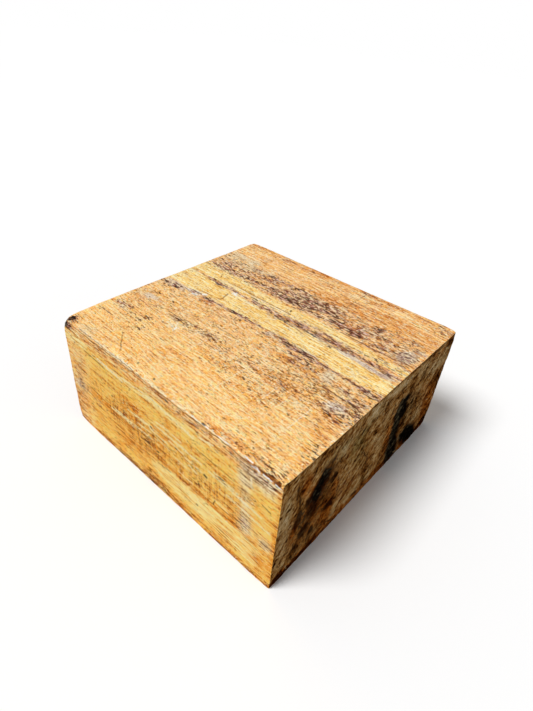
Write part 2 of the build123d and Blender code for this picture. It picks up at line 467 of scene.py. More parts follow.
# Small dark specks: open pores, grit and dirt.
marks["speck"] = by_face(
    0.2 + 0.26 * eased(between(across, 78, 138), -6, 10) + blots(along, across, [
        (245, 100, 50, 24, 0.25), (20, 62, 16, 8, 0.5), (60, 56, 16, 10, 0.4),
        (85, 86, 20, 5, 0.7), (125, 89, 18, 4, 0.9), (292, 35, 8, 34, 0.25), (10, 8, 8, 8, 0.9),
        (270, 8, 30, 8, 0.6), (285, 215, 14, 26, 0.4), (236, 64, 22, 18, 0.3),
        (170, 78, 24, 16, 0.3), (290, 105, 12, 14, 0.4), (245, 170, 50, 8, 0.2),
    ]) - 0.18 * eased(between(across, 145, 166), -4, 3) - 0.15 * (1 - eased(across, 40, 70)),
    0.18 + blots(along, up, [
        (17, 60, 10, 12, 0.6), (150, 66, 80, 16, 0.3), (135, 60, 14, 10, 0.4),
        (240, 92, 14, 4, 0.6),
    ]) - 0.2 * eased(marks["sap"], 0, 4) - 0.2 * eased(along, 262, 290),
    0.15,
)

# Pale rubbed and torn fibres. The pale line along the front top arris is partly torn fibre
# and partly painted highlight.
marks["pale"] = by_face(
    0.25 + blots(along, across, [
        (52, 135, 3.5, 3.5, 1.9), (60, 143, 3, 3, 1.8), (96, 3, 10, 2, 0.6), (38, 3, 8, 2, 0.6),
        (82.5, 170, 3.2, 2.6, 1.8), (43, 243, 3, 5, 1.0), (92, 173, 3, 2, 0.8),
        (85, 74, 9, 5, 0.8), (93, 72, 2.5, 5, 0.9), (280, 237, 4, 4, 0.7), (281, 220, 5, 4, 0.9),
        # (140, 1) and (90, 3) lie along the front top arris, as do (96, 3) and (38, 3) above:
        # partly painted highlight
        (140, 1, 120, 3, 0.9), (90, 3, 40, 2.4, 0.5), (238, 170, 10, 1.8, 0.8),
        (248, 128, 5, 8, 0.6), (120, 183, 60, 2.2, 0.7), (263, 250, 8, 20, 0.2),
        (190, 70, 6, 26, 0.3), (235, 70, 26, 12, 0.3), (160, 78, 30, 8, 0.3),
        (298, 75, 3, 40, 0.5), (72, 261, 3, 4, 0.3),
    ]),
    0.2 + blots(along, up, [
        (170, 82, 110, 22, 0.3), (78, 117, 24, 2.2, 1.2), (125, 118.5, 30, 2.0, 0.8),
        (124, 83, 20, 1.5, 1.3), (135, 84.5, 12, 2, 0.7), (98, 64.5, 16, 1.8, 1.1),
        (135, 68, 16, 1.5, 0.7), (180, 91.5, 32, 1.8, 0.9), (248, 88.5, 26, 1.8, 1.1),
        (268, 77, 16, 1.6, 0.8), (180, 118, 34, 1.8, 0.8), (220, 123, 8, 1.6, 0.8),
        (269.5, 116, 2, 4, 0.9), (272, 95, 1.8, 2.5, 1.2), (4, 57, 4, 3, 1.0),
        # (150, 137.5) lies just under the front top arris: partly painted highlight
        (150, 137.5, 150, 1.5, 0.5), (210, 37, 50, 7, 0.4), (20, 12, 8, 6, 0.4),
    ]),
    0.2,
)

# How golden the wood is: the front and the hidden sides have kept more colour than the top,
# and the strip of the top along the front has kept more than the rest.
front_strip = 0.06 + 0.22 * (1 - eased(across, 58, 84))
marks["golden"] = by_face(
    front_strip,
    1.0 - 0.45 * eased(up, 122, 128) - 0.6 * np.clip(marks["grey"], 0, 1)
    - 0.5 * (1 - eased(along, 12, 45)),
    0.6,
)

# How long-drawn the fibre shows: least where the top has been knocked about.
marks["combed"] = by_face(front_strip + 0.45 * eased(across, 240, 252), 1.0, 0.6)

# Saw marks standing across the grain.
marks["sawn"] = by_face(
    0.08 + blots(along, across, [
        (228, 68, 40, 24, 0.5), (150, 78, 60, 14, 0.3), (250, 108, 40, 16, 0.3),
    ]),
    0.35 + blots(along, up, [
        (130, 66, 70, 22, 0.9), (215, 90, 40, 26, 0.5), (85, 88, 30, 20, 0.5),
        (180, 60, 40, 14, 0.4), (70, 60, 30, 12, 0.4), (235, 66, 40, 14, 0.4),
    ]) - 0.35 * eased(marks["sap"], 0, 5),
    0.5 * eased(lumps(flat_place, (60, 50, 40), 23), 0.0, 0.6),
)

# Soot-black dirt ground into the front left top corner, and splinters at the right one:
# soft balls of it, each with its middle, its reach and its strength.
SOOT = [
    ((2, 2, 134), 6, 2.2), ((11, 6, 139), 4, 0.7), ((7, 10, 139), 4, 0.6), ((18, 2, 139), 3, 0.3),
    ((294, 1, 137), 4, 1.2), ((281, 0, 138), 3, 1.0), ((287, 2, 138.5), 3, 0.9),
    ((274, 0, 138), 2, 0.7),
]
marks["soot"] = np.zeros(len(flat_place))
for middle, reach, strength in SOOT:
    away = np.linalg.norm(flat_place - middle, axis=1)
    marks["soot"] += strength * np.exp(-((away / reach) ** 2))

# ------------------------------------------------------------------------------------------
# Decay in the right end. The saw tore the end grain on the slant; damp has turned it brown
# and olive, and rotted three pockets black, where the soft fibres have fallen out.
# ------------------------------------------------------------------------------------------
# Outlines on the end: distance in from the nearer side, height above the bottom.
LONG_POCKET = [  # from the back side; its front edge is one clean radial split
    (112, 91), (108, 66), (103, 30), (98, 5), (80, 5), (83, 23), (92, 43), (87, 52), (96, 66),
    (88, 79), (80, 91), (92, 100), (108, 102),
]
TOE_POCKET = [  # from the back side
    (78, 33), (67, 16), (54, 6), (32, 5), (44, 25), (63, 37),
]
UPPER_POCKET = [  # from the front side
    (56, 111), (68, 102), (67, 96), (58, 82), (53, 76), (47, 81), (48, 93), (55, 100),
]


def inside(first, second, outline):
    """Signed distance into a closed outline: to its nearest side, and negative outside it.

    A place is inside if a ray from it, in the first direction, crosses an odd number of sides.
    """
    nearest = np.full(len(first), np.inf)
    odd = np.zeros(len(first), dtype=bool)
    for (x1, y1), (x2, y2) in zip(outline, outline[1:] + outline[:1]):
        x, y, run_x, run_y = first - x1, second - y1, x2 - x1, y2 - y1
        part = np.clip((x * run_x + y * run_y) / (run_x**2 + run_y**2), 0, 1)
        nearest = np.minimum(nearest, np.hypot(x - part * run_x, y - part * run_y))
        if run_y:
            odd ^= ((y1 > second) != (y2 > second)) & (x < y * run_x / run_y)
    return np.where(odd, nearest, -nearest)


pocket = np.where(on_right, np.maximum.reduce([
    inside(WIDTH - across, up, LONG_POCKET),
    inside(WIDTH - across, up, TOE_POCKET),
    inside(across, up, UPPER_POCKET),
]), FAR_OUTSIDE)

# The rot is black where the hollow is fresh, and fades out of its ragged back half.
marks["rot"] = pocket - blots(across, up, [
    (215, 86, 6, 14, 7), (212, 58, 6, 10, 5), (57, 97, 13, 15, 3.5), (243, 25, 9, 4, 6),
    (236, 10, 7, 4, 5),
]) + blots(across, up, [(190, 88, 3, 18, 1.5), (196, 40, 3, 30, 1.5), (205, 14, 5, 14, 2.0)])

# Small burnt-looking spots, and the dark line under the top arris, which is painted shadow.
marks["burnt"] = np.where(on_right, blots(across, up, [
    (76, 85, 5, 5, 1.0), (40, 84, 7, 5, 0.7), (29, 77, 3, 6, 0.8), (26, 68, 3, 5, 0.7),
    (21, 118, 1.6, 10, 0.8), (27, 95, 1.8, 16, 0.6), (46, 67, 5, 4, 0.7), (50, 64, 4, 6, 0.5),
    (40, 44, 5, 5, 1.1), (74, 47, 4, 3, 1.1), (80, 43, 3, 3, 1.0), (53, 32, 3, 6, 1.0),
    (31, 31, 2.5, 4, 0.8), (128, 13, 6, 3, 1.0), (148, 10, 4, 6, 0.6), (82, 20, 10, 4, 0.6),
    (112, 114, 5, 4, 0.4), (122, 110, 4, 3, 0.4), (130, 85, 3, 8, 0.5), (158, 34, 7, 3, 0.6),
    (174, 100, 3, 8, 0.6), (182, 122, 5, 2.5, 0.9), (178, 127, 5, 2.5, 0.6), (205, 111, 6, 3, 0.8),
    (231, 87, 4, 4, 0.6), (234, 66, 5, 3, 0.6), (236, 50, 4, 7, 0.5), (225, 60, 4, 10, 0.4),
    (15, 4, 26, 4, 0.7), (50, 5, 20, 3, 0.6), (85, 3, 20, 3, 0.5), (90, 50, 2, 20, 0.3),
    (278, 88, 14, 8, 0.4), (285, 128, 4, 7, 0.8), (279, 133, 5, 3, 0.6), (284, 12, 8, 8, 0.5),
    # this first row is the painted shadow line under the top arris
    (245, 134, 26, 2.0, 0.5), (68, 113, 5, 3, 0.6), (80, 131, 5, 4, 0.5), (248, 45, 4, 5, 0.4),
    (253, 22, 6, 6, 0.6), (200, 60, 9, 40, 0.3), (62, 98, 13, 16, 0.75), (50, 84, 12, 10, 0.5),
    (50, 60, 28, 24, 0.6), (44, 22, 40, 16, 0.3), (30, 70, 6, 10, 0.35), (40, 45, 9, 9, 0.4),
    (77, 45, 9, 6, 0.5), (228, 28, 12, 12, 0.7), (252, 24, 10, 10, 0.5), (28, 70, 4, 5, 0.8),
    (40, 45, 4, 5, 0.7), (77, 45, 4, 3, 0.8), (32, 30, 3, 4, 0.7), (54, 32, 3, 5, 0.7),
]), -0.1)

# Colour zones: olive where fungus sits, khaki where it is drier, red-brown near the decay.
marks["khaki"] = np.where(on_right, blots(across, up, [
    (10, 95, 9, 34, 1.0), (14, 35, 9, 22, 0.4), (85, 112, 10, 10, 0.5), (100, 45, 12, 26, 0.4),
    (75, 116, 34, 16, 0.5), (165, 126, 60, 12, 0.4), (225, 84, 14, 20, 0.5),
    (258, 70, 16, 34, 0.4), (135, 122, 16, 12, 0.6), (160, 85, 14, 24, 0.55),
    (232, 120, 16, 10, 0.6), (270, 108, 24, 9, 1.0), (222, 62, 6, 26, 0.7), (245, 45, 14, 12, 0.6),
    (220, 10, 5, 6, 1.0), (213, 86, 5, 16, 0.5), (152, 15, 8, 8, 0.4), (65, 68, 10, 6, 0.5),
    (206, 38, 4, 8, 0.5), (284, 122, 10, 2.4, 0.9), (190, 130, 30, 5, 0.3),
]), 0.35)
marks["olive"] = np.where(on_right, blots(across, up, [
    (115, 100, 24, 24, 0.8), (205, 90, 7, 14, 1.0), (70, 118, 26, 12, 0.5), (210, 70, 4, 12, 0.7),
    (148, 25, 10, 22, 0.5), (20, 20, 14, 14, 0.4), (125, 65, 24, 20, 0.3), (202, 15, 6, 14, 0.4),
    (262, 100, 30, 10, 0.3),
]), 0.4)
marks["rusty"] = np.where(on_right, blots(across, up, [
    (33, 112, 6, 18, 0.8), (25, 62, 3.5, 16, 0.9), (78, 34, 9, 20, 1.1), (84, 70, 5, 10, 0.7),
    (120, 34, 12, 10, 0.5), (179, 66, 6, 24, 1.0), (186, 40, 5, 20, 0.7), (170, 20, 14, 14, 0.4),
    (275, 60, 18, 26, 0.9), (283, 30, 12, 20, 0.8), (255, 84, 16, 12, 0.4), (285, 134, 12, 6, 0.9),
    (250, 22, 8, 6, 0.9), (55, 52, 30, 26, 0.6), (146, 62, 5, 20, 0.4), (262, 128, 20, 6, 0.4),
    (140, 3, 150, 8, 2.0), (105, 34, 12, 26, 0.5), (45, 90, 8, 16, 0.6), (38, 5, 30, 5, 0.5),
]), 0.3)

# Gloom: how much darker than its ground colour each zone is.
marks["gloom"] = np.where(on_right, blots(across, up, [
    (278, 80, 18, 12, 0.5), (78, 54, 12, 14, 0.9), (40, 58, 20, 14, 0.4), (75, 84, 8, 8, 0.5),
    (60, 4, 60, 4, 0.5), (246, 20, 26, 14, 0.7), (290, 60, 7, 40, 0.4), (226, 66, 12, 12, 0.7),
    (250, 132, 20, 4, 0.2), (209, 76, 7, 20, 0.9), (215, 60, 6, 10, 0.5), (50, 74, 12, 8, 0.5),
    (260, 6, 26, 6, 0.8), (45, 32, 26, 10, 0.3), (290, 8, 10, 10, 0.8), (15, 4, 16, 6, 0.8),
    (78, 128, 20, 8, 0.4),
]) - blots(across, up, [
    (160, 131, 70, 8, 0.8), (135, 103, 12, 10, 0.5), (193, 103, 12, 6, 0.6), (40, 97, 8, 12, 0.4),
    (12, 40, 12, 40, 0.5), (10, 110, 12, 20, 0.2), (215, 112, 16, 10, -0.4), (226, 86, 8, 8, -0.8),
    (130, 12, 50, 10, 0.5), (196, 36, 6, 14, 1.2), (45, 40, 22, 22, 0.4), (110, 20, 30, 16, 0.3),
    (160, 20, 12, 12, 0.4), (168, 102, 10, 8, 0.6), (164, 46, 10, 8, 0.5), (255, 94, 12, 8, 0.6),
    (222, 30, 9, 8, 0.7), (195, 89, 5, 9, 0.9), (110, 70, 40, 40, 0.2),
]), 0.1)

# The left end was sawn clean: its grain is quieter and its growth rings show.
marks["rough"] = np.where(on_right, 1.0, 0.5)
marks["rings"] = np.where(on_right, 0.0, 0.7)

# ------------------------------------------------------------------------------------------
# The worn surface. Soft fibre has worn below the hard and the stain has sunk a little, chips
# have left the front top arris, and the right end is torn, with its rotted pockets hollow.
# ------------------------------------------------------------------------------------------
TEAR_LEAN = radians(40)  # the torn tufts lean this far up from across


def leaning(place, angle):
    """The place with its second and third parts turned by an angle, to lay noise on the slant."""
    along, across, up = place.T
    slope, rise = np.cos(angle), np.sin(angle)
    return np.stack([along, across * slope + up * rise, up * slope - across * rise], axis=1)


def long_grain_depth(place):
    """How deep the long-grain faces are worn, in millimetres.

    Broad hollows, long fibres and short fibres, each noise scaled to its own depth, and a
    little more wherever stain or a dark streak lies.
    """
    depth = 0.30 * (1 + lumps(place, (90, 60, 60), 61))
    depth += 0.12 * (1 + lumps(place, (34, 4.2, 4.2), 62))
    depth += 0.08 * (1 + lumps(place, (9, 3.6, 3.6), 63))
    return depth + 0.22 * np.clip(marks["stain"], 0, 1) + 0.25 * eased(marks["streak"], -0.2, 0.8)


def chip_depth(place):
    """Chips along the front top arris: noise above a level, fading within 5 mm of the arris."""
    along, across, up = place.T
    near = np.exp(-((across / 4.5) ** 2) - ((HEIGHT - up) / 3.2) ** 2)
    worn = 0.25 + 0.75 * np.maximum(
        eased(between(along, 70, 152), -4, 10), eased(between(along, 216, 310), -4, 16)
    )
    splinters = lumps(place, (7, 4, 4), 64) + 0.4 * lumps(place, (3.6, 3.6, 3.6), 65)
    return 2.2 * near * worn * eased(splinters, 0.05, 0.8)


def creased(noise):
    """Rounded tongues with sharp creases between: (1 - |noise|) to the fourth power."""
    return (1 - np.abs(noise)) ** 4


def torn_depth(place):
    """How deep the right end is torn: slanting tongues, tufts and crumbs, and rotted pockets.

    The pockets drop away over two millimetres and are rough inside.
    """
    tufts = creased(lumps(leaning(place, TEAR_LEAN), (400, 13, 4.4), 67))
    depth = 1.1 * marks["torn"] + 0.4 * tufts + 0.12 * (1 + lumps(place, (400, 4, 4), 68))
    depth += 0.4 * np.clip(marks["burnt"], 0, 1.2)
    ragged = pocket + 1.4 * lumps(place, (400, 5, 5), 69)
    return depth + eased(ragged, -1.2, 1.6) * (1.6 + 0.9 * tufts)


# The right end is torn in slanting tongues; this depth also darkens the end-grain colour in its
# hollows, as painted shade.
tongue_noise = lumps(leaning(flat_place, TEAR_LEAN), (400, 36, 9), 66)
tongue_noise += 0.35 * lumps(leaning(flat_place, TEAR_LEAN), (400, 12, 5), 71)
marks["torn"] = np.where(on_right, creased(tongue_noise), 0.0)
on_left = facing[:, 0] < -0.6
depth = long_grain_depth(flat_place) + chip_depth(flat_place)
depth = np.where(on_left, 0.15 * (1 + lumps(flat_place, (400, 3.6, 30), 70)), depth)
depth = np.where(on_right, torn_depth(flat_place), depth)
depth *= eased(np.abs(facing).max(axis=1), 0.6, 0.95) * 0.8 + 0.2
sunk_place = worn_place - facing * depth[:, None]


def laid_out(place):
    """Places in the squared timber's own millimetres, moved onto the real out-of-square faces.

    Each is the mean of the eight sharp corners, weighted by how near it is to each side.
    """
    share = (place / SIZE)[:, None, :]
    weight = np.stack([1 - share, share], axis=-1)[:, 0]
    return np.einsum("ni,nj,nk,ijkc->nc", weight[:, 0], weight[:, 1], weight[:, 2], corner)


def block_mesh(name, places, quads):
    """A smooth-shaded mesh from whole arrays of places and four-cornered faces."""
    mesh = bpy.data.meshes.new(name)
    mesh.vertices.add(len(places))
    mesh.vertices.foreach_set("co", places.ravel())
    mesh.loops.add(quads.size)
    mesh.loops.foreach_set("vertex_index", quads.ravel())
    mesh.polygons.add(len(quads))
    mesh.polygons.foreach_set("loop_start", np.arange(0, quads.size, 4))
    mesh.polygons.foreach_set("use_smooth", np.ones(len(quads), dtype=bool))
    mesh.update(calc_edges=True)
    return mesh

block = bpy.data.objects.new("worn_block", block_mesh("worn_block", laid_out(sunk_place), quads))
bpy.context.scene.collection.objects.link(block)
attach(block, "root")
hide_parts("wood_block")

# ------------------------------------------------------------------------------------------
# Finish of the long grain: dry bare wood. Fibre, streaks, saw marks, open pores, scratches
# and the marks above, in colour and in relief; there is no polish on it anywhere.
# ------------------------------------------------------------------------------------------


def on_face(axis, level, lines):
    """Lines drawn on one face, as a start, an end and a half width in the round.

    Each row gives the face's own two coordinates at the line's start and at its end, then
    its half width. The level is the third coordinate, along the axis the face looks down.
    """
    placed = []
    for *ends, half_width in lines:
        flat_ends = np.array(ends, dtype=float).reshape(2, 2)
        start, end = np.insert(flat_ends, axis, level, axis=1)
        placed.append((start, end, half_width))
    return placed


# Pale scratches and rubs. The long lines on the top close along its front edge are partly torn
# fibre and partly painted highlight on the arris.
PALE_SCRATCHES_AND_ARRIS_HIGHLIGHT = on_face(2, HEIGHT, [
    (263, 78, 263.5, 47, 0.7), (187, 112, 187, 34, 0.4), (113, 96, 114, 60, 0.4),
    (128.5, 78, 129, 48, 0.4), (225, 80, 225.5, 55, 0.4), (234, 76, 234.5, 50, 0.3),
    (241, 82, 241, 58, 0.3), (64, 264, 79, 251, 0.4), (60, 182.3, 190, 182, 0.5),
    (187, 212, 187, 196, 0.6), (238, 213, 237, 194, 0.5), (30, 3.5, 118, 3, 0.6),
    (86, 82, 94, 70, 0.6), (30, 1.6, 150, 0.8, 0.5), (160, 1, 262, 1, 0.5),
]) + on_face(1, 0, [
    (60, 118.5, 100, 114.5, 1.5), (100, 119.5, 150, 121.5, 1.0), (105, 82, 143, 85.5, 1.1),
    (74, 64.5, 108, 65.2, 1.3), (108, 67, 140, 68.5, 0.8), (150, 92, 212, 90.5, 1.4),
    (222, 90, 282, 86.5, 1.5), (244, 78.5, 292, 75, 1.3), (208, 121, 226, 124.5, 1.1),
    (269, 122, 270, 113, 0.9), (150, 121, 202, 115, 1.0), (196, 76, 206, 74, 1.3),
    (160, 99, 185, 97, 1.2), (140, 81, 166, 80, 1.2), (190, 82, 212, 81, 1.1),
    (120, 75, 140, 76, 1.0), (82, 67, 140, 68.5, 1.2), (150, 97, 168, 98.5, 1.3),
    (168, 86, 188, 84.5, 1.0), (228, 94, 256, 91, 1.2), (176, 70, 196, 69, 0.9),
    (150, 75, 168, 74, 0.8), (180, 55, 200, 54, 0.8), (228, 58, 246, 57, 0.8),
])
# White chips, torn up beside the stain and along the splintered end of the front top arris.
WHITE_CHIPS = on_face(2, HEIGHT, [
    (80, 171.5, 86, 168.5, 1.2), (82, 174, 84, 171, 1.0), (90, 173.5, 93, 173, 0.8),
    (50, 134, 55, 136, 1.3), (60, 141, 63, 144, 1.1), (38, 137, 42, 137.5, 0.8),
    (260, 1, 268, 1, 0.7), (93, 71, 92, 75, 0.8), (212, 1.5, 219, 1.5, 0.7),
    (200, 1.2, 208, 1, 0.5), (228, 1, 246, 1, 0.5),
]) + on_face(1, 0, [
    (268, 136, 276, 136.2, 0.9), (280, 135.8, 288, 135.4, 1.0), (292, 134.8, 298, 134.2, 0.8),
])
# Scratches, short cuts and shakes; the last two on the front are a painted shadow line just
# under the top arris. The last pair are the splits behind the splinters, which dip into the
# arris, so they are written in the round.
DARK_SCRATCHES_AND_ARRIS_SHADOW = on_face(2, HEIGHT, [
    (63, 30, 87, 11, 0.55), (6, 41, 30, 40.4, 0.6), (58, 185, 100, 185.2, 0.45),
    (92, 184.6, 156, 184, 0.55), (101, 179.6, 110, 179.2, 1.0), (77.5, 164, 81, 152, 0.7),
    (213, 197, 262, 196, 0.8), (262, 196, 296, 198, 0.6), (118, 107, 150, 106, 0.4),
    (252, 111.5, 297, 107, 0.8), (39, 194, 43, 187, 0.5), (187.5, 296, 188, 242, 0.4),
    (30, 2, 130, 1.4, 0.5), (275, 240, 279, 233, 0.8),
]) + on_face(1, 0, [
    (36, 115.8, 70, 112.6, 0.7), (229.5, 57, 227.8, 51.5, 0.8), (148, 41, 168, 43, 0.5),
    (205, 105, 252, 103.5, 0.5), (283, 102.5, 291, 100.5, 0.6), (276, 130.6, 300, 130.2, 0.6),
    # painted shadow: these two lie just under the front top arris
    (12, 136.4, 140, 136.6, 0.5), (150, 136.8, 272, 136.4, 0.6),
]) + [
    ((270, 0.6, 138), (284, 0.6, 137.8), 1.1), ((284, 0.6, 138), (299, 0.8, 137), 1.5),
]
# Deep spots: a slit where a worm or a nail went in, knocks and grit.
DARK_SPOTS = on_face(2, HEIGHT, [
    (54, 65.3, 58, 65, 0.7), (49, 106, 52, 105, 0.8), (24, 107, 27, 106, 0.9),
    (126, 134.5, 127, 132.5, 1.0), (194, 66.5, 197, 65.8, 0.9), (209, 59.5, 211, 59, 0.8),
    (223, 126.5, 223.5, 125.5, 1.1), (150.5, 191, 151, 189, 0.9), (287, 93, 288, 91, 1.1),
    (281, 89, 285, 91, 0.7), (67, 46, 71, 45, 0.6), (51, 57, 56, 55, 0.5),
    (81, 86.5, 84, 86, 1.0), (30, 67, 33, 64, 0.7), (113.5, 12, 113.7, 11.6, 0.9),
    (142, 8, 142.5, 8, 1.0), (253, 60, 254.5, 59.5, 0.7), (178, 60.6, 179, 60.4, 0.6),
    (212, 2.4, 215, 2, 0.9), (282, 110, 288, 109, 1.0), (275, 242.5, 276, 242, 0.8),
    (106, 179.5, 110, 179.3, 0.7), (219, 166, 222, 165, 0.9),
]) + on_face(1, 0, [
    (216, 80, 218, 79.6, 1.5), (141, 84.2, 142, 84.2, 0.9), (205.5, 30, 206.5, 29, 1.0),
    (178, 84, 179, 84, 0.8), (234, 93, 239, 93, 0.8), (208, 62, 208, 61, 0.9),
    (167, 134, 169, 133.5, 1.0),
])
GOLDEN_FILTER = (1.0, 0.825, 0.36, 1.0)


def tone(red, green, blue):
    """A colour as it looks on a screen, 0 to 255, turned into light for a shader.

    Dark parts are divided by 12.92, the rest raised to the power 2.4, as sRGB has it.
    """
    part = np.array([red, green, blue]) / 255
    light = np.where(part <= 0.04045, part / 12.92, ((part + 0.055) / 1.055) ** 2.4)
    return (*light, 1.0)


class Finish:
    """One material under way. Each call adds a node and returns the output it made.

    Places are read from the block's own millimetres: along, across and up the timber.
    """

    def __init__(self, name):
        """A new material with one shader, and the place of each point on the timber."""
        self.material = bpy.data.materials.new(name)
        self.material.use_nodes = True
        self.tree = self.material.node_tree
        self.shader = self.tree.nodes["Principled BSDF"]
        self.place = self.node("Attribute", "Vector", attribute_name="timber")

    def node(self, kind, output, inputs=(), **settings):
        """A node of this kind, with sockets linked or set from inputs, and its output."""
        made = self.tree.nodes.new("ShaderNode" + kind)
        for name, value in settings.items():
            setattr(made, name, value)
        for socket, value in dict(inputs).items():
            if isinstance(value, bpy.types.NodeSocket):
                self.tree.links.new(value, made.inputs[socket])
            else:
                made.inputs[socket].default_value = value
        return made.outputs[output]

    def math(self, operation, *values):
        """The operation done to one to three values."""
        return self.node("Math", 0, enumerate(values), operation=operation)

    def times(self, first, second):
        """The two multiplied."""
        return self.math("MULTIPLY", first, second)

    def plus(self, first, second):
        """The two added."""
        return self.math("ADD", first, second)

    def less(self, first, second):
        """The second taken from the first."""
        return self.math("SUBTRACT", first, second)

    def highest(self, first, second):
        """The greater of the two at each place."""
        return self.math("MAXIMUM", first, second)

    def vector(self, operation, *values, output="Vector"):
        """The operation done to places or directions."""
        return self.node("VectorMath", output, enumerate(values), operation=operation)

    def mark(self, name):
        """One of the block's marks."""
        return self.node("Attribute", "Fac", attribute_name=name)

    def marked(self, value, name, weight):
        """The value plus one of the block's marks times a weight."""
        return self.math("MULTIPLY_ADD", self.mark(name), weight, value)

    def step(self, value, low, high, to_low=0.0, to_high=1.0):
        """to_low at low, to_high at high, and a smooth S between."""
        limits = {"Value": value, "From Min": low, "From Max": high}
        limits.update({"To Min": to_low, "To Max": to_high})
        return self.node("MapRange", 0, limits, interpolation_type="SMOOTHSTEP")

    def mix(self, share, first, second, blend="MIX"):
        """The first colour where the share is 0, blended with the second where it is 1.

        Inputs 6 and 7 and output 2 are the ones that the node keeps for colours.
        """
        colours = {0: share, 6: first, 7: second}
        return self.node("Mix", 2, colours, data_type="RGBA", blend_type=blend)

    def layers(self, middle, *pairs):
        """A middle value plus each noise, taken about its own middle, times its weight."""
        total = middle - sum(weight for _, weight in pairs) / 2
        for noise, weight in pairs:
            total = self.math("MULTIPLY_ADD", noise, weight, total)
        return total

    def ramp(self, value, *tones):
        """Tones evenly spaced from 0 to 1."""
        made = self.tree.nodes.new("ShaderNodeValToRGB")
        stops = made.color_ramp.elements
        stops[1].position = 1.0
        for number in range(1, len(tones) - 1):
            stops.new(number / (len(tones) - 1))
        for stop, colour in zip(stops, tones):
            stop.color = tone(*colour)
        self.tree.links.new(value, made.inputs[0])
        return made.outputs[0]

    def drawn_out(self, cell, seed, place=None):
        """Places measured in cells of these three lengths, shifted by the seed."""
        scale = tuple(1 / part for part in cell)
        shift = (seed * 3.1, seed * 1.7, seed * 2.3)
        inputs = {"Vector": place or self.place, "Scale": scale, "Location": shift}
        return self.node("Mapping", 0, inputs)

    def noise(self, cell, seed, detail=2.0, roughness=0.5, place=None):
        """Noise from 0 to 1 whose grains have about this cell's three lengths."""
        inputs = {"Vector": self.drawn_out(cell, seed, place), "Scale": 1.0}
        return self.node("TexNoise", 0, {**inputs, "Detail": detail, "Roughness": roughness})

    def shaken(self, cell, seed, reach):
        """The place, shifted by three noises of this cell, each up to half its own reach."""
        inputs = {"Vector": self.drawn_out(cell, seed), "Scale": 1.0}
        jolt = self.vector("SUBTRACT", self.node("TexNoise", "Color", inputs), (0.5, 0.5, 0.5))
        return self.vector("ADD", self.place, self.vector("MULTIPLY", jolt, reach))

    def strokes(self, place, lines, fade):
        """The deepest of many lines: 1 within each one's half width, then fading to 0.

        The nearest point of a line is its start plus a share of its run, and the share is
        the dot product of run and place over the run squared, kept from 0 to 1.
        """
        deepest = 0.0
        for start, end, half_width in lines:
            run = np.subtract(end, start)
            from_start = self.vector("SUBTRACT", place, tuple(start))
            per_run = tuple(run / (run @ run))
            share = self.vector("DOT_PRODUCT", from_start, per_run, output="Value")
            share = self.node("Clamp", 0, {0: share})
            gone = self.node("VectorMath", 0, {0: tuple(run), "Scale": share}, operation="SCALE")
            away = self.vector("LENGTH", self.vector("SUBTRACT", from_start, gone), output="Value")
            depth = self.step(away, half_width + fade, half_width - fade)
            deepest = self.highest(deepest, depth)
        return deepest

    def completed(self, colour, height, relief, roughness, specular):
        """The material, once its shader has the colour and a bump.

        A height of 1 stands as many millimetres high as the relief says.
        """
        self.tree.links.new(colour, self.shader.inputs["Base Color"])
        bump = self.node("Bump", 0, {"Height": height, "Distance": relief * MM})
        self.tree.links.new(bump, self.shader.inputs["Normal"])
        self.shader.inputs["Roughness"].default_value = roughness
        self.shader.inputs["Specular IOR Level"].default_value = specular
        return self.material


def fibre(finish):
    """Noises drawn out along the grain, which wanders a little, and the saw marks across it.

    The steps below read them from wood, and add to it what a later step needs.
    """
    wander = finish.shaken((90, 26, 26), 5, (0, 5, 5))
    grain = finish.node("Mapping", 0, {"Vector": wander, "Rotation": (0, 0, radians(2))})
    # each noise: lengths of its cell, seed, detail and roughness
    cells = {
        "broad": ((60, 12, 12), 1, 2, 0.5),
        "streak": ((45, 3.0, 3.0), 2, 2, 0.6),
        "thread": ((26, 1.15, 1.15), 3, 1, 0.5),
        "clump": ((16, 8, 8), 27, 2, 0.5),
        "patch": ((13, 3.4, 3.4), 8, 3, 0.62),
        "hue": ((7, 2.4, 2.4), 6, 3, 0.65),
        "dash": ((7, 1.9, 1.9), 14, 3, 0.62),
        "core": ((9, 2.4, 2.4), 15, 2, 0.6),
        "tear": ((7, 2.0, 2.0), 17, 2, 0.6),
        "short": ((4.4, 1.5, 1.5), 16, 2, 0.6),
        "lifted": ((7, 2.2, 2.2), 19, 2, 0.6),
        "grit": ((4.2, 1.5, 1.5), 31, 3, 0.62),
        "flake": ((3.0, 1.5, 1.5), 41, 2, 0.6),
        "fine": ((2.6, 1.1, 1.1), 18, 1, 0.5),
    }
    wood = SimpleNamespace(**{name: finish.noise(*cell, grain) for name, cell in cells.items()})
    across_grain = finish.noise((1.5, 30, 26), 12, 2, 0.6)
    wood.sawn = finish.times(finish.mark("sawn"), finish.step(across_grain, 0.44, 0.66))
    return wood


